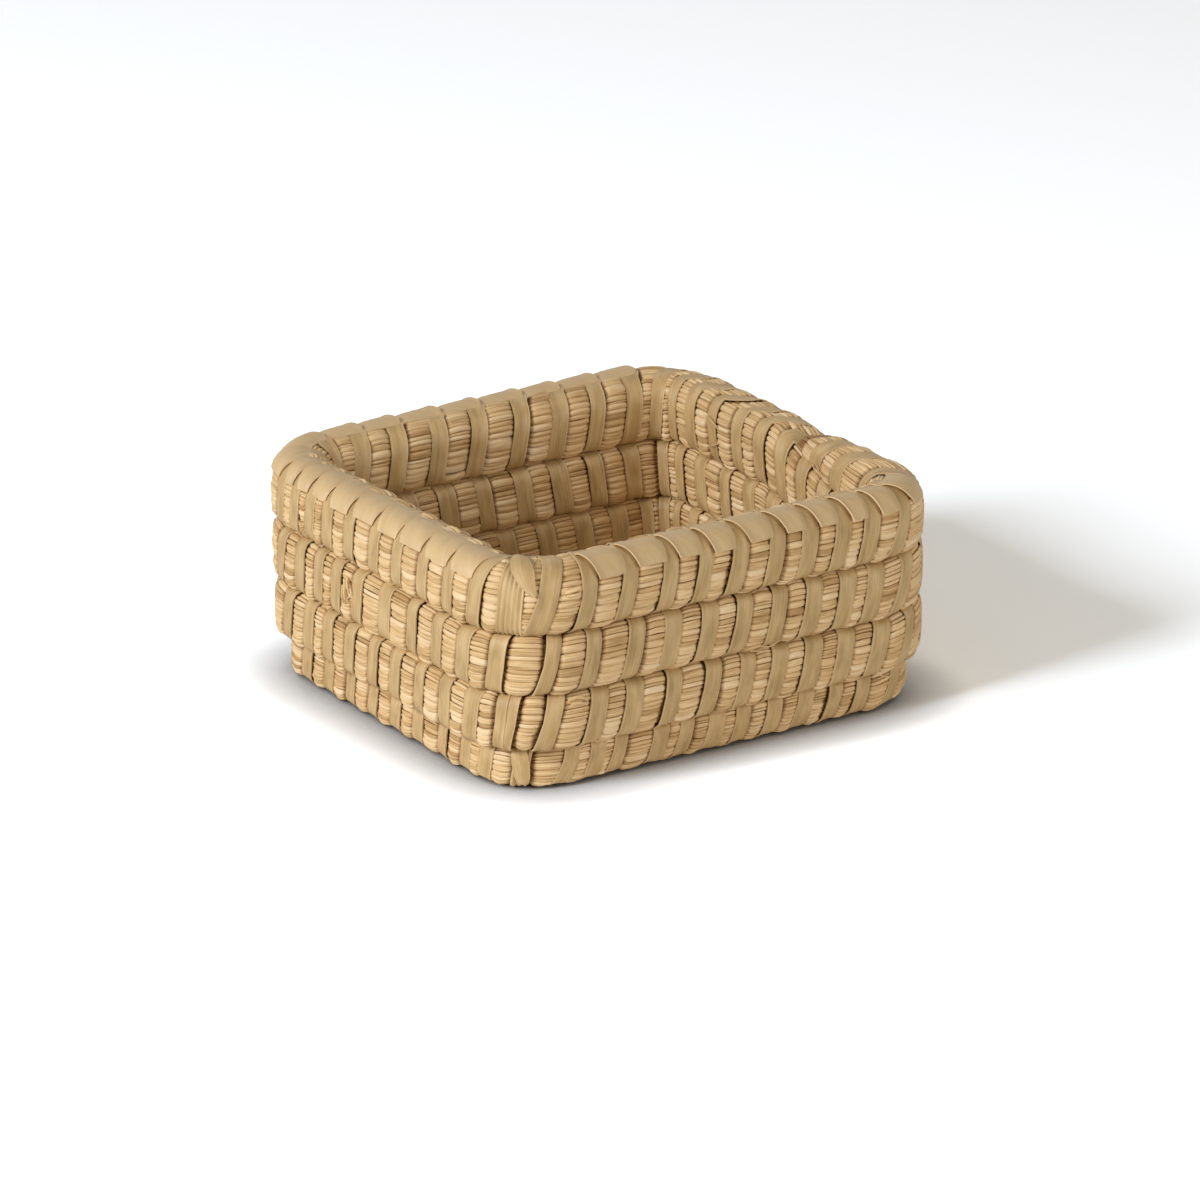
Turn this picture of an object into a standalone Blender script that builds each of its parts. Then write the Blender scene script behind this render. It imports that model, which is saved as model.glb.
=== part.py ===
"""A coiled berry basket: one long bundle of stems, wound up from the floor and bound with leaf strips.

Run with: blender --background --python part.py
Metres, +Z up. The origin is on the table under the middle of the basket, X runs along its longer side and
the wide front wall faces -Y.
"""

import math
from collections import namedtuple

import bmesh
import bpy
import numpy as np
from mathutils import Vector

MM = 0.001

# Overall size, over the leaf strips at the rim
basket_length = 152.0 * MM
basket_width = 141.0 * MM
wall_corner_radius = 16.0 * MM

# Half width and half height of the stem bundle in each row, slimmer towards the floor
rim_half_width = 8.6 * MM
rim_half_height = 8.95 * MM
row_2_half_width = 8.6 * MM
row_2_half_height = 7.5 * MM
row_3_half_width = 8.2 * MM
row_3_half_height = 7.0 * MM
base_row_half_width = 7.4 * MM
base_row_half_height = 5.1 * MM
floor_thinner_by = 0.5 * MM
bundle_flat_share = 0.66
bundle_side_share = 0.50
# The stems bulge this share of the bundle's half width between two wraps
bundle_swell_share = 0.09

# How the rows lie
base_row_inset = 3.5 * MM
floor_lift = 1.0 * MM
floor_corner_radius = 10.0 * MM
floor_rounds = 3
climb_length = 95.0 * MM
corner_climb_share = 0.12
rim_tip_half_height = 1.2 * MM
rim_merge_length = 13.5 * MM

# Leaf strips
strip_width = 6.5 * MM
strip_width_in_groove = 5.0 * MM
strip_thickness = 0.6 * MM
strip_clearance = 0.35 * MM
strip_slack = 0.5 * MM
strip_lean = 2.6 * MM
wall_stitch_pitch = 12.7 * MM
base_row_stitch_pitch = 10.2 * MM
floor_stitch_pitch = 18.0 * MM

# How finely the bundle and the gap measurements are stepped
wall_corner_steps = 5
floor_corner_steps = 4
swell_ring_room = 0.6 * MM
gap_sample_step = 2.0 * MM

stem_colour = (0.50, 0.36, 0.17, 1.0)
leaf_colour = (0.62, 0.49, 0.28, 1.0)
stem_roughness = 0.75
leaf_roughness = 0.60
smooth_angle = math.radians(50.0)

# Worked out from the sizes above: a strip stands this far off the stems, and a groove takes one from each row
strip_stand_off = strip_clearance + strip_thickness
groove_gap = 2.0 * strip_stand_off + strip_slack

Round = namedtuple("Round", "name half_length half_width corner height bundle_width bundle_height steps")
Station = namedtuple("Station", "point bundle_width bundle_height")
Corner = namedtuple("Corner", "first last")
Row = namedtuple("Row", "name start end pitch stitches splits")

# The lines along the bundle, one at each corner of its section
OUTER_UPPER, TOP_OUTER, TOP_INNER, INNER_UPPER, INNER_LOWER, BOTTOM_INNER, BOTTOM_OUTER, OUTER_LOWER = range(8)
LINE_COUNT = OUTER_LOWER + 1


def octagon(half_width, half_height, stand_off):
    """The eight corners of a bundle's section, outward and upward, each face moved out by stand_off."""
    flat = half_width * bundle_flat_share
    side = half_height * bundle_side_share
    normal_out, normal_up = Vector((half_height - side, half_width - flat)).normalized()
    out = half_width + stand_off
    top = half_height + stand_off
    slope = half_width * normal_out + side * normal_up + stand_off
    side_top = (slope - out * normal_out) / normal_up
    shoulder = (slope - top * normal_up) / normal_out
    upper_half = [(out, side_top), (shoulder, top), (-shoulder, top), (-out, side_top)]
    return upper_half + [(across, -up) for across, up in reversed(upper_half)]


def make_rounds():
    """Every round of the coil, from the straight strand in the middle of the floor up to the rim."""
    reach = rim_half_width + strip_stand_off
    half_length = basket_length / 2.0 - reach
    half_width = basket_width / 2.0 - reach
    base_length = half_length - base_row_inset
    base_width = half_width - base_row_inset
    base_corner = wall_corner_radius - base_row_inset

    base_height = base_row_half_height + strip_stand_off
    row_3_height = base_height + base_row_half_height + groove_gap + row_3_half_height
    row_2_height = row_3_height + row_3_half_height + groove_gap + row_2_half_height
    rim_height = row_2_height + row_2_half_height + groove_gap + rim_half_height

    # The floor's rounds fill the space inside the base row's shorter side, side by side
    bundles_across = 2 * floor_rounds + 1
    gaps_across = floor_rounds + 1
    short_side = min(base_length, base_width)
    inside = short_side - base_row_half_width - gaps_across * groove_gap
    floor_half_width = inside / bundles_across
    pitch = 2.0 * floor_half_width + groove_gap
    floor_half_height = base_row_half_height - floor_thinner_by
    floor_height = floor_lift + strip_stand_off + floor_half_height

    rounds = []
    for number in range(floor_rounds + 1):
        width = number * pitch + base_width - short_side
        rounds.append(
            Round(
                f"floor_{number}",
                number * pitch + base_length - short_side,
                width,
                min(floor_corner_radius, max(width, pitch / 2.0)),
                floor_height,
                floor_half_width,
                floor_half_height,
                floor_corner_steps,
            )
        )
    rounds.append(
        Round("base_row", base_length, base_width, base_corner, base_height,
              base_row_half_width, base_row_half_height, wall_corner_steps)
    )
    for name, height, bundle_width, bundle_height in (
        ("row_3", row_3_height, row_3_half_width, row_3_half_height),
        ("row_2", row_2_height, row_2_half_width, row_2_half_height),
        ("rim", rim_height, rim_half_width, rim_half_height),
    ):
        rounds.append(
            Round(name, half_length, half_width, wall_corner_radius, height,
                  bundle_width, bundle_height, wall_corner_steps)
        )
    return rounds


def corner_arc(middle_x, middle_y, radius, start_angle, steps):
    """Points round one corner, a quarter turn anticlockwise seen from above."""
    angles = [start_angle + math.pi / 2.0 * step / steps for step in range(steps + 1)]
    return [(middle_x + radius * math.cos(angle), middle_y + radius * math.sin(angle)) for angle in angles]


def add_corner(points, middle_x, middle_y, radius, start_angle, steps):
    """Adds a quarter turn to the points, and gives the places of its first and last points in them."""
    arc = corner_arc(middle_x, middle_y, radius, start_angle, steps)
    if math.dist(points[-1], arc[0]) < strip_clearance:
        points.pop()
    points += arc
    return Corner(len(points) - len(arc), len(points) - 1)


def plan_points(rounds):
    """The coil seen from above, as points, and the corners of each round, by name."""
    quarter = math.pi / 2.0
    strand, first_round = rounds[:2]
    # The strand in the middle lies along the longer side of the floor
    along_x = strand.half_length >= strand.half_width
    if along_x:
        turn_start = strand.half_length - strand.corner - strip_clearance
        start_x = min(first_round.corner - first_round.half_length, turn_start)
        points = [(start_x, -strand.half_width)]
    else:
        points = [(strand.half_length, first_round.corner - first_round.half_width)]
    corners = []
    for number, this in enumerate(rounds):
        turns = {}
        reach_x = this.half_length - this.corner
        reach_y = this.half_width - this.corner
        if number > 0:
            before = rounds[number - 1]
            right_side = before.half_length if number <= floor_rounds + 1 else this.half_length
            back_left_radius = min(this.corner, (before.half_length + this.half_length) / 2.0)
            radius = min(back_left_radius, (before.half_width + this.half_width) / 2.0)
            if this.name == "rim":
                past_tip = rim_tip_place(rounds) + groove_gap
                points += [(right_side, past_tip), (right_side, past_tip + rim_merge_length)]
            if number > floor_rounds + 1:
                points.append((right_side, climb_end_place(before)))
            turns["far"] = add_corner(
                points, right_side - radius, this.half_width - radius, radius, 0.0, this.steps
            )
            turns["back_left"] = add_corner(
                points, back_left_radius - this.half_length, this.half_width - back_left_radius,
                back_left_radius, quarter, this.steps
            )
            turns["front_left"] = add_corner(
                points, -reach_x, -reach_y, this.corner, 2.0 * quarter, this.steps
            )
        if number > 0 or along_x:
            turns["right"] = add_corner(points, reach_x, -reach_y, this.corner, 3.0 * quarter, this.steps)
        corners.append(turns)
    return points, corners


def lengths_along(points):
    """The distance from the first point to each point, along the line through them."""
    steps = np.linalg.norm(np.diff(np.array(points), axis=0), axis=1)
    return np.concatenate([[0.0], np.cumsum(steps)])


def climb_end_place(this):
    """Where along the right-hand wall a row has climbed to the next one. It starts before the corner."""
    corner_length = 2.0 * this.corner * math.sin(math.pi / 4.0 / this.steps) * this.steps
    straight = max(climb_length - corner_length, wall_corner_radius)
    run = 2.0 * (this.half_width - this.corner)
    return min(straight, run - strip_clearance) + this.corner - this.half_width


def climbed_share(along, corner_end, climb_end):
    """How much of a climb is done at a length from its start. It is gentle round the corner."""
    return np.interp(along, [0.0, corner_end, climb_end], [0.0, corner_climb_share, 1.0])


def rim_rise(rounds):
    below, rim = rounds[-2:]
    return rim.height + rim.bundle_height - below.height - below.bundle_height


def rim_tip_place(rounds):
    """Where along the right-hand wall the rim's bundle has thinned down to its tip."""
    rise = rim_rise(rounds)
    left_share = (groove_gap + 2.0 * rim_tip_half_height) / rise / (1.0 - corner_climb_share)
    climb_end = climb_end_place(rounds[-1])
    straight = climb_end + rounds[-1].half_width - rounds[-1].corner
    return climb_end - max(left_share * straight, 2.0 * groove_gap + rim_merge_length)


def coil_levels(rounds, along, corners):
    """Which round each point belongs to. It passes from one to the next as the bundle climbs."""
    knots = []
    levels = []
    for number in range(floor_rounds, len(rounds)):
        if number == floor_rounds:
            # The last of the floor's rounds grows into the base row within the corner between them
            knots.append(along[corners[number + 1]["far"].first])
            levels.append(number)
        else:
            # A row is level from the end of the climb up to it as far as the next climb
            far, turn = corners[number]["far"], corners[number]["right"]
            level_from = far.last if number == floor_rounds + 1 else far.first - 1
            knots += [along[level_from], along[turn.first], along[turn.last]]
            levels += [number, number, number + corner_climb_share]
    return np.interp(along, knots, levels)


def coil_stations(rounds):
    """The middle of the bundle and its size at each station. A row climbs along the right-hand wall."""
    points, corners = plan_points(rounds)
    level = coil_levels(rounds, lengths_along(points), corners)
    numbers = range(len(rounds))
    heights = np.interp(level, numbers, [this.height for this in rounds])
    widths = np.interp(level, numbers, [this.bundle_width for this in rounds])
    bundle_heights = np.interp(level, numbers, [this.bundle_height for this in rounds])
    stations = [
        Station(Vector((x, y, z)), width, height)
        for (x, y), z, width, height in zip(points, heights, widths, bundle_heights)
    ]
    top = rounds[-1].height + rounds[-1].bundle_height
    # Past the tip the climbing row swells at once to the level of the rim
    for index in range(corners[-1]["far"].first - 2, corners[-1]["far"].last + 1):
        point, width, height = stations[index]
        bottom = point.z - height
        middle = Vector((point.x, point.y, (top + bottom) / 2.0))
        stations[index] = Station(middle, width, (top - bottom) / 2.0)
    level_part = stations[: corners[-1]["right"].first + 1]
    return level_part + rim_end(rounds, points, corners), corners


def rim_end(rounds, points, corners):
    """The rim's bundle thins out over the row that climbs up under it, with its top kept level."""
    rim = rounds[-1]
    rise = rim_rise(rounds)
    first = corners[-2]["right"].first
    climb = points[first : corners[-1]["far"].first]
    along = lengths_along(climb)
    corner_end = along[corners[-2]["right"].last - first]
    past_tip = len(climb) - 3
    top = rim.height + rim.bundle_height
    ends = []
    for length in list(along[1:past_tip]) + [along[past_tip] - groove_gap]:
        x = np.interp(length, along, [point[0] for point in climb])
        y = np.interp(length, along, [point[1] for point in climb])
        left = rise * (1.0 - climbed_share(length, corner_end, along[-1]))
        half_height = (left - groove_gap) / 2.0
        half_width = rim.bundle_width * half_height / rim.bundle_height
        ends.append(Station(Vector((x, y, top - half_height)), half_width, half_height))
    return ends


class Coil:
    """The bundle's skin: eight lines along it, read at any length and any distance out."""

    def __init__(self, stations):
        self.stations = stations
        self.along = lengths_along([station.point for station in stations])
        self.outs = []
        self.ups = []
        for index, station in enumerate(stations):
            before = stations[max(index - 1, 0)].point
            after = stations[min(index + 1, len(stations) - 1)].point
            back = (station.point - before) if index else (after - station.point)
            ahead = (after - station.point) if after != station.point else back
            forward = (back.normalized() + ahead.normalized()).normalized()
            out = forward.cross(Vector((0.0, 0.0, 1.0))).normalized()
            flat_back = Vector((back.x, back.y, 0.0)).normalized()
            flat_out = flat_back.cross(Vector((0.0, 0.0, 1.0)))
            self.outs.append(out / out.dot(flat_out))
            self.ups.append(out.cross(forward).normalized())

    def ring(self, index, stand_off):
        station = self.stations[index]
        section = octagon(station.bundle_width, station.bundle_height, stand_off)
        return [station.point + self.outs[index] * out + self.ups[index] * up for out, up in section]

    def skin(self, length, line, stand_off):
        """The point on one of the eight lines, at this length along the coil and this far off the stems."""
        index = int(np.searchsorted(self.along, length, side="right")) - 1
        index = min(max(index, 0), len(self.stations) - 2)
        share = (length - self.along[index]) / (self.along[index + 1] - self.along[index])
        start = self.ring(index, stand_off)[line]
        return start.lerp(self.ring(index + 1, stand_off)[line], share)

    def swollen_ring(self, length, row):
        """The stems' own ring: they bulge between the wraps, which pass the inner face half a pitch further on."""
        ring = [self.skin(length, line, 0.0) for line in range(LINE_COUNT)]
        outward = ring[OUTER_UPPER] - ring[INNER_UPPER]
        share = 1.0 - abs(2.0 * (((length - row.start) / row.pitch + 0.5) % 1.0) - 1.0)
        swell = outward * bundle_swell_share / 2.0
        for line in (OUTER_UPPER, OUTER_LOWER):
            ring[line] += swell * share
        for line in (INNER_UPPER, INNER_LOWER):
            ring[line] -= swell * (1.0 - share)
        return ring


def bundle_rings(coil, rows):
    """Rings for the stems: one at each station, and on the wall one at each wrap and one between two wraps."""
    lengths = list(coil.along)
    for row in rows:
        for stitch in row.stitches:
            for length in (stitch - row.pitch / 2.0, stitch):
                if length < coil.along[-1] and min(abs(coil.along - length)) > swell_ring_room:
                    lengths.append(length)
    rings = []
    for length in sorted(lengths):
        row = next((row for row in rows if row.start <= length < row.end), None)
        if row:
            rings.append(coil.swollen_ring(length, row))
        else:
            rings.append([coil.skin(length, line, 0.0) for line in range(LINE_COUNT)])
    return sorted(lengths), rings


def strip_section(coil, length, line, width):
    """The strip where it crosses one of the bundle's lines: a flat outer face over a rib that faces in."""
    probe = strip_clearance
    stretch = (
        coil.skin(length + probe, line, strip_stand_off) - coil.skin(length - probe, line, strip_stand_off)
    ).length / (2.0 * probe)
    reach = width / 2.0 / max(stretch, 1.0)
    rib = coil.skin(length, line, strip_clearance)
    near = coil.skin(length - reach, line, strip_stand_off)
    far = coil.skin(length + reach, line, strip_stand_off)
    outward = (coil.skin(length, line, strip_stand_off) - rib).normalized()
    lift = max(strip_thickness - ((near + far) / 2.0 - rib).dot(outward), 0.0)
    return [near + outward * lift, far + outward * lift, rib]


def strip_rings(coil, lengths, pitch):
    """One strip wound round the bundle: up the outer face, over the top, down inside and back under."""
    half_lean = strip_lean / 2.0
    side_lean = half_lean * bundle_side_share
    inside = pitch / 2.0
    steps = (
        (BOTTOM_OUTER, -half_lean, strip_width_in_groove),
        (OUTER_LOWER, -side_lean, strip_width),
        (OUTER_UPPER, side_lean, strip_width),
        (TOP_OUTER, half_lean, strip_width_in_groove),
        (TOP_INNER, inside - half_lean, strip_width_in_groove),
        (INNER_UPPER, inside - side_lean, strip_width),
        (INNER_LOWER, inside + side_lean, strip_width),
        (BOTTOM_INNER, inside + half_lean, strip_width_in_groove),
    )
    rings = []
    for number, length in enumerate(lengths):
        # The last wrap is tucked in behind the inner face
        wrap = steps if number < len(lengths) - 1 else steps[:-1]
        rings += [strip_section(coil, length + shift, line, width) for line, shift, width in wrap]
    return rings


def loft(name, rings, material, parent):
    """One closed solid through rings of points, with a flat cap on each end."""
    mesh = bmesh.new()
    rows = [[mesh.verts.new(point) for point in ring] for ring in rings]
    count = len(rows[0])
    for row, following in zip(rows, rows[1:]):
        for corner in range(count):
            beside = (corner + 1) % count
            mesh.faces.new((row[corner], row[beside], following[beside], following[corner]))
    mesh.faces.new(rows[0])
    mesh.faces.new(rows[-1])
    bmesh.ops.recalc_face_normals(mesh, faces=mesh.faces)
    data = bpy.data.meshes.new(name)
    mesh.to_mesh(data)
    mesh.free()
    data.shade_smooth()
    data.set_sharp_from_angle(angle=smooth_angle)
    data.materials.append(material)
    made = bpy.data.objects.new(name, data)
    bpy.context.collection.objects.link(made)
    made.parent = parent
    return made


def least_gap(points, lengths, apart):
    """The least distance between points that lie more than this length apart along their own path."""
    points = np.array(points)
    lengths = np.array(lengths)
    least = math.inf
    for point, length in zip(points, lengths):
        others = points[lengths > length + apart]
        if len(others):
            least = min(least, float(np.linalg.norm(others - point, axis=1).min()))
    return least


def loft_gap(rings, lengths, apart):
    """The least gap between stretches of one loft, on points taken all over its skin."""
    points = []
    places = []
    for ring, following, start, end in zip(rings, rings[1:], lengths, lengths[1:]):
        count = max(math.ceil((end - start) / gap_sample_step), 1)
        for share in np.arange(count) / count:
            corners = [first.lerp(second, share) for first, second in zip(ring, following)]
            middles = [(first + second) / 2.0 for first, second in zip(corners, corners[1:] + corners[:1])]
            points += corners + middles
            places += [start + share * (end - start)] * (len(corners) + len(middles))
    return least_gap(points, places, apart)


def strip_gap(rings):
    """The least gap between neighbouring wraps of one strip."""
    ribs = [ring[-1] for ring in rings]
    return loft_gap(rings, lengths_along(ribs), 2.0 * strip_width)


def stitch_lengths(start, end, wanted_pitch):
    """Where the wraps of one strip stand, evenly spaced, and the pitch that a whole number of them gives."""
    count = round((end - start) / wanted_pitch)
    pitch = (end - start) / count
    return [start + (number + 0.5) * pitch for number in range(count)], pitch


def middle_length(coil, corner):
    return (coil.along[corner.first] + coil.along[corner.last]) / 2.0


def wall_rows(coil, rounds, corners):
    """Where the wraps of each row of the wall stand, and the lengths that split the row into its sides."""
    places = ("far", "back_left", "front_left", "right")
    round_length = middle_length(coil, corners[-1]["far"]) - middle_length(coil, corners[-2]["far"])
    rows = []
    for number in range(floor_rounds + 1, len(rounds)):
        this = rounds[number]
        splits = [middle_length(coil, corners[number][place]) for place in places]
        start = splits[0]
        end = start + round_length if this.name == "rim" else middle_length(coil, corners[number + 1]["far"])
        wanted_pitch = base_row_stitch_pitch if this.name == "base_row" else wall_stitch_pitch
        stitches, pitch = stitch_lengths(start, end, wanted_pitch)
        rows.append(Row(this.name, start, end, pitch, stitches, splits + [end]))
    return rows


def make_wall_strips(coil, rows, material, parent):
    """Each row of the wall has four strips, one along each side, and each winds on from the last."""
    sides = ("back", "left", "front", "right")
    tip = coil.along[-1] - strip_width
    for row in rows:
        for side, first, last in zip(sides, row.splits, row.splits[1:]):
            lengths = [length for length in row.stitches if first <= length < last and length + row.pitch < tip]
            name = f"{row.name}_strip_{side}"
            rings = strip_rings(coil, lengths, row.pitch)
            loft(name, rings, material, parent)
            print(f"{name}: {len(lengths)} wraps, least gap {strip_gap(rings) / MM:.2f} mm")


def make_floor_strips(coil, corners, material, parent):
    """The floor's rounds have one strip each."""
    names = ("inner", "middle", "outer")
    for number in range(1, floor_rounds + 1):
        far = corners[number]["far"]
        # The turn in the middle of the floor is too tight for a wrap
        start = middle_length(coil, far) if number > 1 else coil.along[far.last]
        end = middle_length(coil, corners[number + 1]["far"])
        lengths, pitch = stitch_lengths(start, end, floor_stitch_pitch)
        place = names[number - 1] if floor_rounds == len(names) else str(number)
        name = f"floor_strip_{place}"
        rings = strip_rings(coil, lengths, pitch)
        loft(name, rings, material, parent)
        print(f"{name}: {len(lengths)} wraps, least gap {strip_gap(rings) / MM:.2f} mm")


def make_material(name, colour, roughness):
    material = bpy.data.materials.new(name)
    material.use_nodes = True
    shader = material.node_tree.nodes["Principled BSDF"]
    shader.inputs["Base Color"].default_value = colour
    shader.inputs["Roughness"].default_value = roughness
    shader.inputs["Metallic"].default_value = 0.0
    return material


def main():
    for old in list(bpy.data.objects):
        bpy.data.objects.remove(old, do_unlink=True)
    stems = make_material("dry_stems", stem_colour, stem_roughness)
    leaf = make_material("leaf_strip", leaf_colour, leaf_roughness)
    basket = bpy.data.objects.new("berry_basket", None)
    bpy.context.collection.objects.link(basket)

    rounds = make_rounds()
    stations, corners = coil_stations(rounds)
    coil = Coil(stations)
    rows = wall_rows(coil, rounds, corners)
    lengths, rings = bundle_rings(coil, rows)
    loft("stem_coil", rings, stems, basket)
    half_turn = math.pi * floor_corner_radius
    gap = loft_gap(rings, lengths, half_turn)
    print(f"stem_coil: {coil.along[-1]:.2f} m of bundle, least gap {gap / MM:.2f} mm")
    make_floor_strips(coil, corners, leaf, basket)
    make_wall_strips(coil, rows, leaf, basket)


main()
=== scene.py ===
import math
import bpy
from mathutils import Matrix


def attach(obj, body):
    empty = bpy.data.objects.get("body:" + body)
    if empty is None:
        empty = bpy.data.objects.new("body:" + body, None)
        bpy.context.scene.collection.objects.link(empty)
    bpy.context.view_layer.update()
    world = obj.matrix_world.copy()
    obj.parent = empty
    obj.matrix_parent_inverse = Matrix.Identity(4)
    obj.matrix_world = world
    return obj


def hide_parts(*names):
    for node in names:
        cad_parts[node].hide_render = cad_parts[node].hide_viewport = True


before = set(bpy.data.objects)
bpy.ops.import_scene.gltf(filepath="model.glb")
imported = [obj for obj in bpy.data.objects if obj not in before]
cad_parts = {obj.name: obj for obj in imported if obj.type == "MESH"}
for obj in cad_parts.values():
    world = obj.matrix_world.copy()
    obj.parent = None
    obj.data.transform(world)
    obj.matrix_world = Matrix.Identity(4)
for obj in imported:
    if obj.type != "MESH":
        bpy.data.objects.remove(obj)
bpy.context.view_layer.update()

from types import SimpleNamespace
import bpy
import numpy as np
from mathutils import Vector

mm = 0.001


def deselectAll():
    if bpy.context.mode != "OBJECT":
        bpy.ops.object.mode_set(mode="OBJECT")
    for item in bpy.context.selected_objects:
        item.select_set(False)


def makeActive(item):
    deselectAll()
    item.select_set(True)
    bpy.context.view_layer.objects.active = item


def joinCopies(copies, name):
    makeActive(copies[0])
    for item in copies:
        item.select_set(True)
    if len(copies) > 1:
        bpy.ops.object.join()
    made = bpy.context.view_layer.objects.active
    made.name = name
    made.data.name = name
    return made


def smoothStep(value):
    value = np.clip(value, 0.0, 1.0)
    return value * value * (3.0 - 2.0 * value)


# the one bundle of stems that makes the whole basket, in mm
coil = {
    # half length, half width, corner radius, height, bundle half width, bundle half height, grow up, grow down
    "rounds": [
        (5.5, 0.0, 6.979, 6.55, 5.779, 4.6, 0.3, 0.3),
        (19.457, 13.957, 10.0, 6.55, 5.779, 4.6, 0.3, 0.3),
        (33.414, 27.914, 10.0, 6.55, 5.779, 4.6, 0.3, 0.3),
        (47.371, 41.871, 10.0, 6.55, 5.779, 4.6, 0.3, 0.3),
        (62.95, 57.45, 12.5, 6.05, 7.4, 5.1, 1.1, 0.2),
        (66.45, 60.95, 16.0, 20.55, 8.2, 7.0, 1.1, 1.1),
        (66.45, 60.95, 16.0, 37.45, 8.6, 7.5, 1.1, 1.1),
        (66.45, 60.95, 16.0, 56.3, 8.6, 8.95, 0.2, 1.1),
    ],
    "climbEnd": {4: 8.0, 5: 2.0, 6: 2.0},  # where on the right wall each row has reached the next one
    "cornerShare": 0.2,      # of a climb, done round the corner before it
    "tipY": -8.0,            # where the rim's bundle ends on the right wall
    "mergeFrom": -11.0,       # the row under it swells to the rim's height from here
    "mergeLength": 14.0,
    "cornerSteps": 24,
    "squareness": 0.38,      # under 1 makes the bundle's section fuller than an ellipse
    "rimSquareness": 0.82,   # the same for the top of the rim
    "floorGrowWide": 1.0,
    "wallGrowWide": 0.1,
}


def arcPoints(middleX, middleY, radius, quarter):
    angles = np.linspace(quarter, quarter + 1.0, coil["cornerSteps"] + 1) * math.pi / 2.0
    return [(middleX + radius * math.cos(a), middleY + radius * math.sin(a)) for a in angles]


def planLine():
    points = [(-9.457, 0.0)]
    turns = []
    rounds = coil["rounds"]
    for number, (length, width, corner, *rest) in enumerate(rounds):
        turn = {}
        if number:
            before = rounds[number - 1]
            right = before[0] if number <= 4 else length
            radius = min(corner, (before[1] + width) / 2.0)
            if number > 4:
                points.append((right, coil["climbEnd"][number - 1]))
                turn["climbEnd"] = (len(points) - 1, len(points) - 1)
            for name, x, y, r, q in (
                ("far", right - radius, width - radius, radius, 0),
                ("backLeft", corner - length, width - corner, corner, 1),
                ("frontLeft", corner - length, corner - width, corner, 2),
            ):
                arc = arcPoints(x, y, r, q)
                if math.dist(points[-1], arc[0]) < 0.05:
                    arc = arc[1:]
                turn[name] = (len(points), len(points) + len(arc) - 1)
                points += arc
        arc = arcPoints(length - corner, corner - width, corner, 3)
        turn["right"] = (len(points), len(points) + len(arc) - 1)
        points += arc
        turns.append(turn)
    # the rim runs on over the climb as far as its tip
    points.append((rounds[-1][0], coil["tipY"]))
    points.append((rounds[-1][0], coil["tipY"] + 1.0))
    return np.array(points), turns


def readCoil():
    points, turns = planLine()
    steps = np.linalg.norm(np.diff(points, axis=0), axis=1)
    along = np.concatenate([[0.0], np.cumsum(steps)])
    knots, levels = [along[turns[4]["far"][0]]], [3.0]
    for number in range(4, 8):
        turn = turns[number]
        start = turn["far"][1] if number == 4 else turn["climbEnd"][0]
        knots += [along[start], along[turn["right"][0]], along[turn["right"][1]]]
        levels += [number, number, number + coil["cornerShare"]]
    line = SimpleNamespace(total=along[-1])
    line.turnAt = [{name: (along[a], along[b]) for name, (a, b) in turn.items()} for turn in turns]
    line.s = np.arange(0.0, along[-1], 0.5)
    x = np.interp(line.s, along, points[:, 0])
    y = np.interp(line.s, along, points[:, 1])
    line.level = np.minimum(np.interp(line.s, knots, levels), 7.0)
    table = np.array(coil["rounds"])
    numbers = np.arange(len(table))
    z, a, b, up, down = (np.interp(line.level, numbers, table[:, c]) for c in (3, 4, 5, 6, 7))
    top, bottom = z + b + up, z - b - down
    rimTop = table[7, 3] + table[7, 5] + table[7, 6]
    # past the rim's tip the row that climbs under it swells to the rim's level
    mergeAt = line.turnAt[7]["far"][0] - (table[7, 1] - table[7, 2] - coil["mergeFrom"])
    swell = smoothStep((line.s - mergeAt) / coil["mergeLength"])
    climbing = (line.s > mergeAt) & (line.s < line.turnAt[7]["far"][1] + 1.0)
    top = np.where(climbing, top + (rimTop - top) * swell, top)
    # the rim's own end thins out above it, with its top kept level
    rightStart, rightEnd = line.turnAt[7]["right"]
    climb = rightEnd - rightStart + coil["climbEnd"][6] + table[6, 1] - table[6, 2]
    share = np.interp(line.s - rightStart, [0.0, rightEnd - rightStart, climb], [0.0, coil["cornerShare"], 1.0])
    rise = (table[7, 3] + table[7, 5]) - (table[6, 3] + table[6, 5])
    ending = line.s > rightStart
    bottomEnd = rimTop - rise * (1.0 - share) - 0.6
    bottom = np.where(ending, np.maximum(bottom, bottomEnd), bottom)
    line.z, line.b = (top + bottom) / 2.0, np.maximum((top - bottom) / 2.0, 0.5)
    wide = a + np.interp(line.level, [3.0, 4.0], [coil["floorGrowWide"], coil["wallGrowWide"]])
    line.a = np.where(ending, wide * np.clip(line.b / 9.4, 0.3, 1.0) ** 0.45, wide)
    line.x, line.y = x, y
    # the direction sideways, smoothed a little where straights meet arcs
    kernel = np.ones(7) / 7.0
    dx, dy = (np.convolve(np.gradient(field), kernel, "same") for field in (x, y))
    size = np.hypot(dx, dy)
    line.outX, line.outY = dy / size, -dx / size
    line.bend = np.convolve(np.gradient(np.unwrap(np.arctan2(dy, dx)), 0.5), kernel, "same")
    return line


line = readCoil()


def at(field, s):
    return np.interp(s, line.s, getattr(line, field))


# a section of half width and half height 1, read evenly along its outline
def sectionTable(squareness):
    turn = np.linspace(0.0, 2.0 * math.pi, 14401)
    x, y = (np.sign(v) * np.abs(v) ** squareness for v in (np.cos(turn), np.sin(turn)))
    arc = np.concatenate([[0.0], np.cumsum(np.hypot(1.14 * np.diff(x), np.diff(y)))])
    return arc / arc[-1] * 2.0 * math.pi, x, y


wallSection, rimSection = sectionTable(coil["squareness"]), sectionTable(coil["rimSquareness"])


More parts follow.
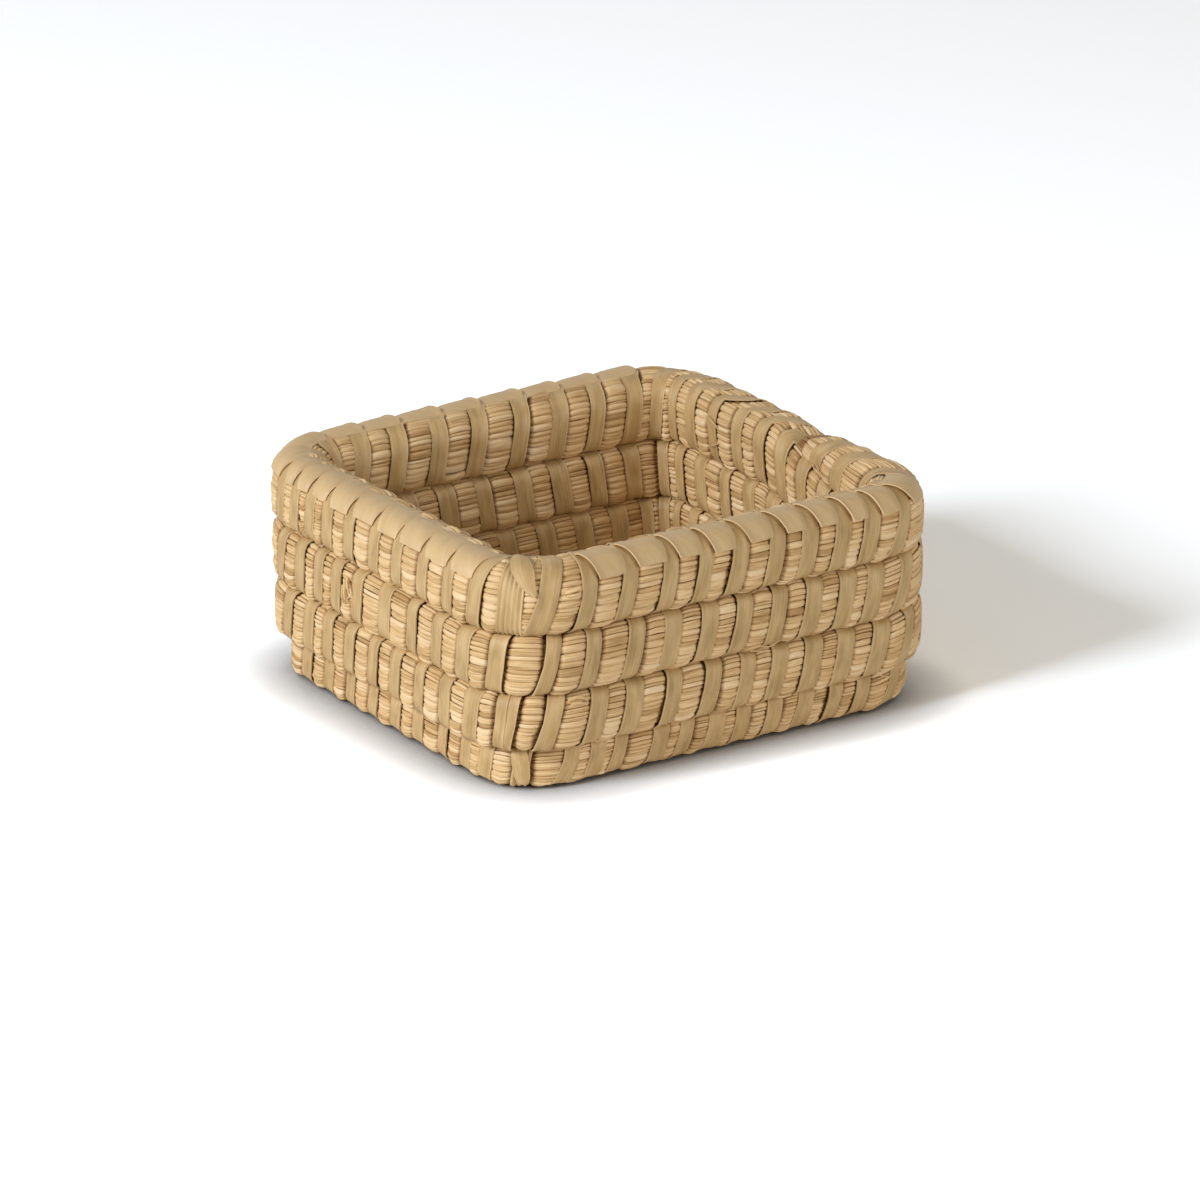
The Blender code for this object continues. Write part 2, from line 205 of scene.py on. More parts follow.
# a point on the bundle's skin: phi is 0 on the outer face, 90 degrees on top, 180 on the inner face
def surface(s, phi, lift):
    a, b = at("a", s) + lift, at("b", s) + lift
    turn = np.mod(phi, 2.0 * math.pi)
    rounder = np.clip(at("level", s) - 6.0, 0.0, 1.0) * (turn < math.pi)
    across, up = (np.interp(turn, wallSection[0], wallSection[n]) * (1.0 - rounder)
                  + np.interp(turn, rimSection[0], rimSection[n]) * rounder for n in (1, 2))
    wide, tall = a * across, b * up
    x = at("x", s) + at("outX", s) * wide
    y = at("y", s) + at("outY", s) * wide
    return np.stack([x, y, at("z", s) + tall], axis=-1) * mm


# the flat leaf wraps that bind the stems
bands = {
    "width": {"floor": 5.6, "baseRow": 5.3, "row3": 5.6, "row2": 5.6, "rim": 5.4},
    "thickness": 0.40,
    "lift": 0.12,
    "proud": {"Back": -1.0, "Left": 1.0, "Front": -1.0, "Right": -1.0},  # the edge that stands up
    "proudBy": 0.34,
    "across": 6,
    "around": 32,
    # wraps that differ, by row and place: width, ridges across, extra lift, lean
    "special": {("rim", 240.0): (7.8, 6, 0.25, 1.0), ("rim", 246.5): (5.6, 0, 0.35, 4.6), ("row3", 238.0): (3.2, 0, 0.10, 1.0),
                ("row3", 240.0): (2.8, 0, 0.30, 2.0), ("row3", 247.5): (4.6, 0, 0.15, 3.0), ("row2", 247.0): (4.0, 0, 0.15, 3.0),
                ("baseRow", 215.0): (4.6, 3, 0.25, 1.0)},
}

# where each leaf wrap stands, in mm along its row from the middle of the far corner
wraps = {
    "baseRow": [4, 14, 26.5, 37, 47, 57.5, 68, 78, 88, 98, 107.5, 117.5, 129, 140.5, 152.5, 164.5, 176, 189, 200.5, 207.5,
                215, 223.5, 231.5, 239, 252.5, 261, 271, 280, 290.5, 301, 311, 320.5, 330, 339.5, 348.5, 358, 368, 378.5,
                389, 399.5, 411, 422, 432, 440.5],
    "row3": [2.5, 13.5, 26, 38.5, 51.5, 65, 78, 90.5, 103.5, 116, 128, 138.5, 149.5, 159.5, 171, 183.5, 195, 207.5, 220.5,
             231.5, 238, 240, 247.5, 258.5, 270, 283, 296, 307.5, 318.5, 330, 341, 352.5, 361, 371, 381, 392, 403.5,
             414.5, 426.5, 438.5, 451, 464, 474],
    "row2": [9.5, 21.5, 34.5, 46.5, 60, 73, 85.5, 98.5, 111, 124, 136, 145.5, 155.5, 165, 176, 190.5, 204.5, 217.5, 229.5,
             237.5, 247, 256.5, 270.5, 282.5, 294.5, 306, 318, 329.5, 341, 350.5, 359.5, 369, 379.5, 391, 401.5,
             412, 422.5, 433.5, 445.5, 458, 469],
    "rim": [-3, 9, 22, 35.5, 48, 62.5, 76, 90, 102.5, 115, 127, 136.5, 143, 151, 160.5, 172, 185, 197, 210, 223, 233,
            240, 246.5, 255.5, 268.5, 282, 293.5, 305, 317.5, 328.5, 339.5, 349.5, 358.5, 370, 385.5, 398, 408],
    "floorPitch": 12.5,
    # how far the top of a wrap stands ahead of its foot, on the outer face of each wall and on the inner face
    "outLean": {"Back": 3.0, "Left": 2.0, "Front": 4.2, "Right": 3.0},
    "inLean": {"floor": -2.0, "baseRow": -2.0, "row3": -3.0, "row2": -3.0, "rim": 3.6},
}
rowLevels = {"baseRow": 4, "row3": 5, "row2": 6, "rim": 7}


def rowStart(level):
    return sum(line.turnAt[level]["far"]) / 2.0


def sideOf(level, s):
    marks = [sum(line.turnAt[level][name]) / 2.0 for name in ("backLeft", "frontLeft", "right")]
    return ("Back", "Left", "Front", "Right")[int(np.searchsorted(marks, s))]


def placeWraps():
    places = []
    end = rowStart(4)
    count = round((end - 3.0) / wraps["floorPitch"])
    for n in range(count):
        places.append(("floor", "Front", 3.0 + (n + 0.5) * (end - 3.0) / count, None))
    for row, level in rowLevels.items():
        start = rowStart(level)
        places += [(row, sideOf(level, start + p), start + p, bands["special"].get((row, float(p)))) for p in wraps[row]]
    return places


wrapPlaces = placeWraps()
wrapNames = [name for name, side, place, special in wrapPlaces]
wrapSides = [side for name, side, place, special in wrapPlaces]
wrapAt = np.array([place for name, side, place, special in wrapPlaces])
wrapSpecial = [special for name, side, place, special in wrapPlaces]
wrapPitch = np.append(np.diff(wrapAt), 12.0)
wrapInside = np.clip(wrapPitch / 2.0, 2.0, 6.6)
outLean = np.array([2.0 if name == "floor" else special[3] if special else wraps["outLean"][side]
                    for name, side, place, special in wrapPlaces])
inLean = np.array([wraps["inLean"][name] for name in wrapNames])
print("wraps placed:", len(wrapPlaces))


# how far along the coil a wrap has moved on at an angle round the bundle
def wrapShift(number, degrees):
    pitch, out, inside, middle = wrapPitch[number], outLean[number], inLean[number], wrapInside[number]
    places = [-90.0, -70.0, -45.0, 0.0, 60.0, 90.0, 112.0, 248.0, 270.0]
    shifts = [-out * 0.88, -out * 0.74, -out * 0.48, 0.06 * out, out * 0.46, out * 0.48 + 0.6, middle - inside * 0.65,
              middle + inside * 0.65, pitch - out * 0.88]
    return np.interp(degrees, places, shifts)


# the stems, each a tube that dives under every wrap and swells between two
stems = {
    "count": {"floor": 34, "baseRow": 40, "row3": 40, "row2": 40, "rim": 40},
    # distance from a wrap's middle, and how far the stems stand in or out there
    "ringAt": [0.0, 2.5, 3.1, 4.4],
    "ringLift": [-0.55, -0.50, 0.10, 0.42],
    "crest": 0.56,
    "swellOf": {"Back": 1.0, "Left": 1.35, "Front": 0.9, "Right": 1.1},
    "flatShare": 0.32,       # of the swell, left on the top and the underside of the bundle
    "thickness": 0.62,
    "tightness": 1.07,
    "across": [1.0, 0.72, 0.0, -0.72, -1.0, 0.0],
    "up": [-0.40, 0.68, 1.0, 0.68, -0.40, -0.9],
}
# the core's dark colour is painted shade: the inner stems stand in the shade between the outer ones
core = {"sides": 16, "depth": 1.3, "colour": (0.20, 0.12, 0.055)}


def rowKnots(row):
    numbers = [n for n, name in enumerate(wrapNames) if name == row]
    return np.arange(numbers[0], min(numbers[-1] + 1, len(wrapAt) - 1) + 1)


# a tube of quads along the coil, made once for a row: a grid rolled up, closed and capped
def makeTubeMaster(rings, sides, name):
    deselectAll()
    bpy.ops.mesh.primitive_grid_add(x_subdivisions=sides, y_subdivisions=rings - 1, size=1.0)
    master = bpy.context.active_object
    master.name = name
    mesh = master.data
    co = np.empty(len(mesh.vertices) * 3)
    mesh.vertices.foreach_get("co", co)
    co = co.reshape(-1, 3)
    turn = 2.0 * math.pi * (co[:, 0] + 0.5)
    rolled = np.stack([0.5 * np.sin(turn), -0.5 * np.cos(turn), co[:, 1]], axis=-1)
    mesh.vertices.foreach_set("co", rolled.ravel())
    bpy.ops.object.mode_set(mode="EDIT")
    bpy.ops.mesh.select_all(action="SELECT")
    bpy.ops.mesh.remove_doubles(threshold=0.0002)
    bpy.ops.mesh.fill_holes(sides=0)
    bpy.ops.mesh.select_all(action="SELECT")
    bpy.ops.mesh.normals_make_consistent(inside=False)
    bpy.ops.object.mode_set(mode="OBJECT")
    # the ring and the side of each point
    co = np.empty(len(mesh.vertices) * 3)
    mesh.vertices.foreach_get("co", co)
    co = co.reshape(-1, 3)
    ring = np.rint((co[:, 2] + 0.5) * (rings - 1)).astype(int)
    side = np.rint(np.arctan2(co[:, 0], -co[:, 1]) / (2.0 * math.pi / sides)).astype(int) % sides
    assert len(co) == rings * sides, "a tube has every ring"
    return master, ring, side


def loopPoints(mesh):
    loops = np.empty(len(mesh.loops), dtype=np.int32)
    mesh.loops.foreach_get("vertex_index", loops)
    return loops


def copyShape(master, coords, maps, name):
    mesh = master.data.copy()
    mesh.vertices.foreach_set("co", coords.astype(np.float32).ravel())
    while mesh.uv_layers:  # a copy's maps are the master's own until they are made anew
        mesh.uv_layers.remove(mesh.uv_layers[0])
    for layer, uv in maps.items():
        mesh.uv_layers.new(name=layer).uv.foreach_set("vector", uv.astype(np.float32).ravel())
    mesh.update()
    copied = bpy.data.objects.new(name, mesh)
    bpy.context.scene.collection.objects.link(copied)
    return copied


def stemRow(row):
    knots = rowKnots(row)
    count = stems["count"][row]
    cells = len(knots) - 1
    perCell = 2 * len(stems["ringAt"])
    rings = cells * perCell + 1
    master, ringOf, sideNumber = makeTubeMaster(rings, 6, row + "StemMaster")
    loops = loopPoints(master.data)

    def draws(seed, shape):  # each cell has its own, and the next row starts with the same ones
        return np.stack([np.random.default_rng(seed + k).standard_normal(shape) for k in knots[:-1]])

    weights = np.exp(0.34 * draws(1000, count))
    heights = np.clip(0.09 * draws(2000, count), -0.20, 0.16)
    heights -= 0.32 * (draws(3000, count) < -1.7)
    wander = draws(4000, (3, count)) * 0.06
    swellOf = np.array([stems["swellOf"][wrapSides[k]] for k in knots[:-1]])
    tones = draws(6000, count)
    edges = np.concatenate([np.zeros((cells, 1)), np.cumsum(weights, axis=1)], axis=1)
    edges = edges / edges[:, -1:] + 0.25 * draws(5000, 1) / count
    middles, halves = (edges[:, 1:] + edges[:, :-1]) / 2.0, (edges[:, 1:] - edges[:, :-1]) / 2.0
    knotMiddles = np.concatenate([middles[:1], (middles[1:] + middles[:-1]) / 2.0, middles[-1:]])
    knotHalves = np.concatenate([halves[:1], (halves[1:] + halves[:-1]) / 2.0, halves[-1:]])
    offsets, lifts = stems["ringAt"], stems["ringLift"]
    profile = np.array(lifts + [stems["crest"]] + lifts[:0:-1])
    across, up = np.array(stems["across"]), np.array(stems["up"])
    copies = []
    for stem in range(count):
        degrees = (stem + 0.5) / count * 360.0 - 90.0
        knotS = np.array([wrapAt[k] + wrapShift(k, degrees) for k in knots])
        # a length on the outer face of a corner is less of the coil's own length
        tight = 1.0 / np.clip(1.0 + at("bend", knotS) * math.cos(math.radians(degrees)) * at("a", knotS), 0.5, 2.0)
        swell = stems["flatShare"] + (1.0 - stems["flatShare"]) * smoothStep(abs(math.cos(math.radians(degrees))) * 1.6)
        ringS, ringLift, ringMid, ringHalf, ringFrom = [], [], [], [], []
        for cell in range(cells):
            a, b = knotS[cell], knotS[cell + 1]
            before, after = tight[cell], tight[cell + 1]
            room = min(1.0, (b - a) / 2.0 / (offsets[-1] * max(before, after) + 0.8))
            ringS += [a + o * room * before for o in offsets] + [(a + b) / 2.0] + [b - o * room * after for o in offsets[:0:-1]]
            ringFrom += offsets + [6.0] + offsets[:0:-1]
            ringMid += list(np.where(np.arange(perCell) == 0, knotMiddles[cell, stem], middles[cell, stem])
                            + np.interp(np.arange(perCell), [0, 2, 4, 6, 8], [0, *wander[cell][:, stem], 0]) * halves[cell, stem])
            ringHalf += [knotHalves[cell, stem]] + [halves[cell, stem]] * (perCell - 1)
            fuller = profile * np.where(profile > 0.0, swell * room * swellOf[cell], 1.0)
            ringLift += list(fuller + np.interp(np.arange(perCell), [0, 1, 2, 6, 7], [0.0, 0.1, 1.0, 1.0, 0.1]) * heights[cell, stem])
        ringS, ringLift = np.append(ringS, knotS[-1]), np.append(ringLift, profile[0])
        ringMid, ringHalf = np.append(ringMid, knotMiddles[-1, stem]), np.append(ringHalf, knotHalves[-1, stem])
        ringFrom = np.append(ringFrom, 0.0)
        ringCell = np.minimum(np.arange(rings) // perCell, cells - 1)
        s = ringS[ringOf]
        thin = np.clip(at("b", s) / 5.0, 0.12, 1.0)  # the stems thin out at the rim's end
        phi = 2.0 * math.pi * (ringMid[ringOf] + across[sideNumber] * ringHalf[ringOf] * stems["tightness"]) - math.pi / 2.0
        lift = (ringLift[ringOf] + (up[sideNumber] - 1.0) * stems["thickness"]) * thin
        ring = ringOf[loops]
        along = np.stack([ringS[ring] * mm, stem + 0.5 + 0.46 * across[sideNumber[loops]]], axis=-1)
        # the distance from the nearest wrap places the painted shadow where stems go under it; the tone is the stem's
        # own
        cell = np.stack([ringFrom[ring] / 10.0, 0.5 + 0.16 * tones[ringCell[ring], stem]], axis=-1)
        copies.append(copyShape(master, surface(s, phi, lift), {"along": along, "cell": cell}, f"{row}Stem{stem}"))
    bpy.data.objects.remove(master, do_unlink=True)
    return joinCopies(copies, row + "Stems")


# a plain tube inside the stems, so that no light falls through between them, coloured dark as painted shade deep
# between the stems
def coreRow(row):
    knots = rowKnots(row)
    # it stops short of the stems' own ends, in the middle of the floor and at the rim's tip
    first = wrapAt[knots[0]] + (1.0 if row == "floor" else -4.0)
    last = wrapAt[knots[-1]] + (-2.0 if row == "rim" else 6.0)
    places = np.clip(np.arange(first, last, 2.2), 0.0, line.total)
    made, ringOf, sideNumber = makeTubeMaster(len(places), core["sides"], row + "Core")
    s = places[ringOf]
    thin = np.clip(at("b", s) / 5.0, 0.12, 1.0)
    coords = surface(s, 2.0 * math.pi * sideNumber / core["sides"], -core["depth"] * thin)
    made.data.vertices.foreach_set("co", coords.astype(np.float32).ravel())
    makeActive(made)
    bpy.ops.object.mode_set(mode="EDIT")
    bpy.ops.mesh.select_all(action="SELECT")
    bpy.ops.mesh.normals_make_consistent(inside=False)
    bpy.ops.object.mode_set(mode="OBJECT")
    return made


def makeGridMaster(acrossCount, aroundCount, name):
    deselectAll()
    bpy.ops.mesh.primitive_grid_add(x_subdivisions=acrossCount, y_subdivisions=aroundCount, size=1.0)
    master = bpy.context.active_object
    master.name = name
    mesh = master.data
    mesh.uv_layers[0].name = "along"
    co = np.empty(len(mesh.vertices) * 3)
    mesh.vertices.foreach_get("co", co)
    co = co.reshape(-1, 3)
    xs, ys = np.unique(np.round(co[:, 0], 5)), np.unique(np.round(co[:, 1], 5))
    across = np.searchsorted(xs, np.round(co[:, 0], 5)) / (len(xs) - 1) * 2.0 - 1.0
    around = np.searchsorted(ys, np.round(co[:, 1], 5)) / (len(ys) - 1)
    return master, across, around


def bandWidth(number):
    special = wrapSpecial[number]
    local = np.random.default_rng(9000 + number)
    usual = bands["width"][wrapNames[number]] * (1.0 + 0.07 * local.standard_normal())
    return special[0] if special else usual


def bandCoords(number, across, around):
    local = np.random.default_rng(9500 + number)
    width = bandWidth(number)
    special = wrapSpecial[number]
    degrees = -86.0 + around * 346.0
    phi = np.radians(degrees)
    wave = 0.22 * np.sin(around * 2.0 * math.pi * 1.3 + local.random() * 6.0)
    s = wrapAt[number] + wrapShift(number, degrees) + wave
    # the wrap leans where it lies, and keeps its width square to its length
    size = (at("a", s) + at("b", s)) / 2.0
    slope = (wrapShift(number, degrees + 2.0) - wrapShift(number, degrees - 2.0)) / 4.0
    tilt = np.arctan(np.clip(slope / np.radians(1.0) / size, -1.2, 1.2))
    stretch = np.clip(1.0 + at("bend", s) * np.cos(phi) * at("a", s), 0.4, 2.0)
    width = width * np.minimum(stretch, 1.0) ** 0.6
    x = across * width / 2.0
    proud = bands["proud"][wrapSides[number]]
    lip = smoothStep((across * proud - 0.25) / 0.75)
    lift = bands["lift"] + bands["proudBy"] * lip * (0.8 + 0.2 * math.sin(number * 2.4)) - 0.14 * (across * proud < -0.8)
    lift = lift + 0.08 * local.standard_normal() * across
    if special:
        lift = lift + special[2] + 0.16 * np.cos(across * math.pi * special[1]) * (special[1] > 0)
    lift = np.where(np.abs(np.sin(phi)) > 0.97, np.minimum(lift, 0.3), lift)
    thin = np.clip(at("b", s) / 5.0, 0.2, 1.0)
    coords = surface(s + x * np.cos(tilt) / stretch, phi - x * np.sin(tilt) / size, lift * thin)
    return coords, around * 0.055 + number * 0.37, across


def bandRow(numbers, name, plain, ribbed):
    copies = []
    for number in numbers:
        special = wrapSpecial[number]
        master, across, around = ribbed if special and special[1] else plain
        coords, u, v = bandCoords(number, across, around)
        loops = loopPoints(master.data)
        v = v * bands["proud"][wrapSides[number]]
        uv = np.stack([u[loops], v[loops]], axis=-1)
        copies.append(copyShape(master, coords, {"along": uv}, f"{name}{number}"))
    return thickened(joinCopies(copies, name), bands["thickness"])


def thickened(made, thickness):
    solid = made.modifiers.new("thickness", "SOLIDIFY")
    solid.thickness = thickness * mm
    solid.offset = -1.0
    makeActive(made)
    bpy.ops.object.modifier_apply(modifier=solid.name)
    return made


# folded patches of leaf over the top of the rim, one from each wrap to the next
folds = {
    "across": 9, "down": 9,
    "foot": 27.0, "crest": 104.0,   # degrees round the bundle
    "thickness": 0.45,
    "over": 0.12, "leftOver": 0.42, "roll": 0.34, "hump": 0.30, "tuck": -0.30,
    "skip": [-3, 233, 240, 246.5, 370, 385.5, 398],  # the near corner and the right wall have other leaves
}


def foldCoords(number, across, down):
    local = np.random.default_rng(7000 + number)
    p, q = (across + 1.0) / 2.0, down
    degrees = folds["foot"] + local.uniform(-2.5, 2.5) + (folds["crest"] - folds["foot"]) * q
    phi = np.radians(degrees)
    width, following = bandWidth(number), bandWidth(number + 1)
    onto = np.clip((q - 0.02) / 0.8, 0.0, 1.0) ** 0.8
    left = wrapAt[number] + wrapShift(number, degrees) + width * (0.5 - 0.85 * onto)
    right = wrapAt[number + 1] + wrapShift(number + 1, degrees) - following / 2.0 + 0.9
    s = left + (right - left) * p
    over = folds["over"] + folds["leftOver"] * (1.0 - p) ** 1.6 + folds["hump"] * np.sin(math.pi * p ** 0.8) * (0.4 + 0.6 * q)
    roll = folds["roll"] * (1.0 - 0.6 * smoothStep(np.abs(at("bend", s)) / 0.05))
    over = over + roll * smoothStep(1.0 - p / 0.16) + 0.05 * np.sin(p * 26.0 + number)
    over = over + (folds["tuck"] - over) * smoothStep((p - 0.80) / 0.20)
    over = over + (-0.35 - over) * smoothStep((q - 0.72) / 0.28)
    over = over - 0.12 * smoothStep((0.10 - q) / 0.10)
    base = 0.28 + 0.60 * smoothStep(np.abs(np.cos(phi)) * 1.6)
    thin = np.clip(at("b", s) / 5.0, 0.2, 1.0)
    return surface(s, phi, (base + over) * thin), q * 0.012 + number * 0.21, (s + 6.0 * q) / 3.0


def foldRow(numbers, name, master):
    master, across, around = master
    loops = loopPoints(master.data)
    copies = []
    for number in numbers:
        coords, u, v = foldCoords(number, across, around)
        uv = np.stack([u[loops], v[loops]], axis=-1)
        copies.append(copyShape(master, coords, {"along": uv}, f"{name}{number}"))
    return thickened(joinCopies(copies, name), folds["thickness"])


# what is out of order on the real one, by row: place along the row, degrees round it, lift, width or thickness in mm
oddBits = {
    "leaves": [
        ("rim", [(240.2, 96, 0.9, 3.2), (241.4, 72, 1.25, 4.6), (242.3, 48, 1.45, 4.4), (243.4, 26, 1.4, 2.6), (244.6, 14, 1.1, 0.7)]),
        ("rim", [(52.0, 262, 0.2, 1.6), (51.5, 252, 0.9, 1.8), (50.3, 240, 1.2, 1.2), (49.2, 232, 1.3, 0.4)]),
        ("baseRow", [(214.4, 56, 0.4, 1.8), (214.6, 34, 0.95, 2.6), (214.9, 10, 1.15, 2.9), (215.1, -14, 0.95, 2.6), (215.2, -34, 0.4, 1.8)]),
    ],
    "stubs": [  # broken stem ends
        ("rim", [(250.0, 16, 0.3, 0.7), (250.9, 17, 0.9, 0.75), (251.8, 19, 1.3, 0.7), (252.5, 20, 1.5, 0.55)]),
        ("rim", [(250.4, 11, 0.3, 0.5), (251.5, 11, 0.9, 0.55), (252.8, 13, 1.1, 0.4)]),
        ("row3", [(250.8, 38, 0.4, 0.45), (252.2, 39, 0.9, 0.5), (253.8, 36, 1.1, 0.45), (255.0, 31, 0.8, 0.3)]),
        ("row3", [(251.2, 31, 0.4, 0.4), (253.0, 30, 0.9, 0.45), (254.6, 26, 0.9, 0.3)]),
        ("row2", [(170.6, 22, 0.4, 0.5), (171.6, 8, 1.3, 0.5), (172.2, -6, 1.4, 0.35)]),
        ("row2", [(169.6, 12, 0.4, 0.5), (170.4, -2, 1.2, 0.45), (170.8, -12, 1.2, 0.3)]),
        ("row2", [(172.2, 26, 0.4, 0.5), (173.2, 15, 1.3, 0.45), (174.4, 6, 1.5, 0.3)]),
    ],
    "frays": [
        ("row2", [(308, -34, 0.8, 0.22), (311, -30, 1.4, 0.22), (314.5, -33, 1.8, 0.18), (318, -28, 1.5, 0.08)]),
        ("row2", [(309, -40, 0.8, 0.20), (312, -38, 1.7, 0.18), (315, -43, 1.9, 0.08)]),
        ("rim", [(404, 196, 0.8, 0.20), (400, 204, 1.6, 0.18), (396, 207, 2.0, 0.14), (392.5, 203, 1.8, 0.06)]),
        ("rim", [(402, 186, 0.8, 0.18), (398.5, 190, 1.7, 0.16), (395, 186, 2.1, 0.06)]),
        ("row2", [(448, 168, 0.8, 0.20), (451, 160, 1.7, 0.18), (454.5, 158, 1.9, 0.06)]),
        ("row2", [(447, 190, 0.8, 0.18), (450.5, 196, 1.7, 0.16), (453.5, 193, 1.9, 0.06)]),
        ("row3", [(352, -36, 0.8, 0.20), (355, -42, 1.6, 0.16), (357.5, -46, 1.5, 0.06)]),
        ("baseRow", [(316, 48, 0.8, 0.20), (319, 42, 1.7, 0.18), (321.5, 36, 1.6, 0.06)]),
    ],
    "knots": [("rim", place, 112 + 9 * (n % 3)) for n, place in enumerate((20, 31, 44, 57, 71, 84))],
}


def smoothPath(points, count):
    points = np.array(points, dtype=float)
    return np.stack([np.interp(np.linspace(0.0, 1.0, count), np.linspace(0.0, 1.0, len(points)), column)
                     for column in points.T], axis=-1)


def strandCopy(row, points, master, ringOf, sideNumber, name):
    rings = int(ringOf.max()) + 1
    sides = int(sideNumber.max()) + 1
    path = smoothPath(points, rings)
    s = rowStart(rowLevels[row]) + path[:, 0]
    middle = surface(s, np.radians(path[:, 1]), path[:, 2])
    forward = np.gradient(middle, axis=0)
    forward /= np.linalg.norm(forward, axis=1)[:, None]
    out = surface(s, np.radians(path[:, 1]), path[:, 2] + 1.0) - middle
    out /= np.linalg.norm(out, axis=1)[:, None]
    sideways = np.cross(forward, out)
    turn = 2.0 * math.pi * sideNumber / sides
    radius = path[ringOf, 3][:, None] * mm
    coords = middle[ringOf] + radius * (np.cos(turn)[:, None] * sideways[ringOf] + np.sin(turn)[:, None] * out[ringOf])
    loops = loopPoints(master.data)
    maps = {"along": np.stack([s[ringOf[loops]] * mm, 0.5 + 0.3 * np.cos(turn[loops])], axis=-1),
            "cell": np.full((len(loops), 2), 0.5)}
    return copyShape(master, coords, maps, name)


def leafCopy(row, points, master, across, around, name):
    path = smoothPath(points, 41)
    field = [np.interp(around, np.linspace(0.0, 1.0, 41), path[:, n]) for n in range(4)]
    s = rowStart(rowLevels[row]) + field[0] + across * field[3] / 2.0
    lift = field[2] - 0.25 * across ** 2
    loops = loopPoints(master.data)
    uv = np.stack([around[loops] * 0.012, across[loops] * 0.8], axis=-1)
    return copyShape(master, surface(s, np.radians(field[1]), lift), {"along": uv}, name)


straw = {
    "pale": (0.88, 0.690, 0.440), "light": (0.79, 0.575, 0.310), "mid": (0.67, 0.460, 0.222), "dark": (0.46, 0.285, 0.115),
    # the last two colours are painted shade: the dark gaps between stems, and the shadow where stems go under a wrap's
    # edge
    "paintedGapShade": (0.27, 0.175, 0.09), "paintedWrapShadow": (0.42, 0.30, 0.19), "roughness": 0.60,
}
leaf = {
    "light": (0.64, 0.462, 0.235), "mid": (0.54, 0.372, 0.172), "dark": (0.42, 0.275, 0.115),
    # the edge colour is a painted highlight along a wrap's raised edge
    "edge": (0.74, 0.550, 0.310), "roughness": 0.52,
}


def newMaterial(name, roughness):
    material = bpy.data.materials.new(name)
    material.use_nodes = True
    shader = material.node_tree.nodes["Principled BSDF"]
    shader.inputs["Roughness"].default_value = roughness
    return material, material.node_tree.nodes, material.node_tree.links, shader


def ramp(nodes, stops):
    made = nodes.new("ShaderNodeValToRGB")
    elements = made.color_ramp.elements
    elements[0].position, elements[0].color = stops[0][0], (*stops[0][1], 1.0)
    elements[1].position, elements[1].color = stops[-1][0], (*stops[-1][1], 1.0)
    for place, colour in stops[1:-1]:
        element = elements.new(place)
        element.color = (*colour, 1.0)
    return made


def mathNode(nodes, links, operation, *values):
    made = nodes.new("ShaderNodeMath")
    made.operation = operation
    for socket, value in zip(made.inputs, values):
        if isinstance(value, (int, float)):
            socket.default_value = value
        else:
            links.new(value, socket)
    return made.outputs[0]


def vectorOf(nodes, links, x, y, z=0.0):
    made = nodes.new("ShaderNodeCombineXYZ")
    for socket, value in zip(made.inputs, (x, y, z)):
        if isinstance(value, (int, float)):
            socket.default_value = value
        else:
            links.new(value, socket)
    return made.outputs[0]


def noise(nodes, links, vector, detail=3.0):
    made = nodes.new("ShaderNodeTexNoise")
    made.inputs["Scale"].default_value = 1.0
    made.inputs["Detail"].default_value = detail
    links.new(vector, made.inputs["Vector"])
    return made.outputs["Fac"]


def uvParts(nodes, links, name):
    uv = nodes.new("ShaderNodeUVMap")
    uv.uv_map = name
    parts = nodes.new("ShaderNodeSeparateXYZ")
    links.new(uv.outputs["UV"], parts.inputs[0])
    return parts.outputs[0], parts.outputs[1]


def mixColour(nodes, links, blend, factor, first, second):
    made = nodes.new("ShaderNodeMix")
    made.data_type = "RGBA"
    made.blend_type = blend
    for name, value in (("Factor", factor), ("A", first), ("B", second)):
        # a colour mix has its own sockets of these names
        socket = next(s for s in made.inputs if s.name == name and (s.type == "RGBA" if name != "Factor" else s.type == "VALUE"))
        if isinstance(value, tuple):
            socket.default_value = (*value, 1.0)
        elif isinstance(value, (int, float)):
            socket.default_value = value
        else:
            links.new(value, socket)
    return next(s for s in made.outputs if s.type == "RGBA")


def bumped(nodes, links, shader, height, strength, distance):
    bump = nodes.new("ShaderNodeBump")
    bump.inputs["Strength"].default_value = strength
    bump.inputs["Distance"].default_value = distance
    links.new(height, bump.inputs["Height"])
    links.new(bump.outputs["Normal"], shader.inputs["Normal"])


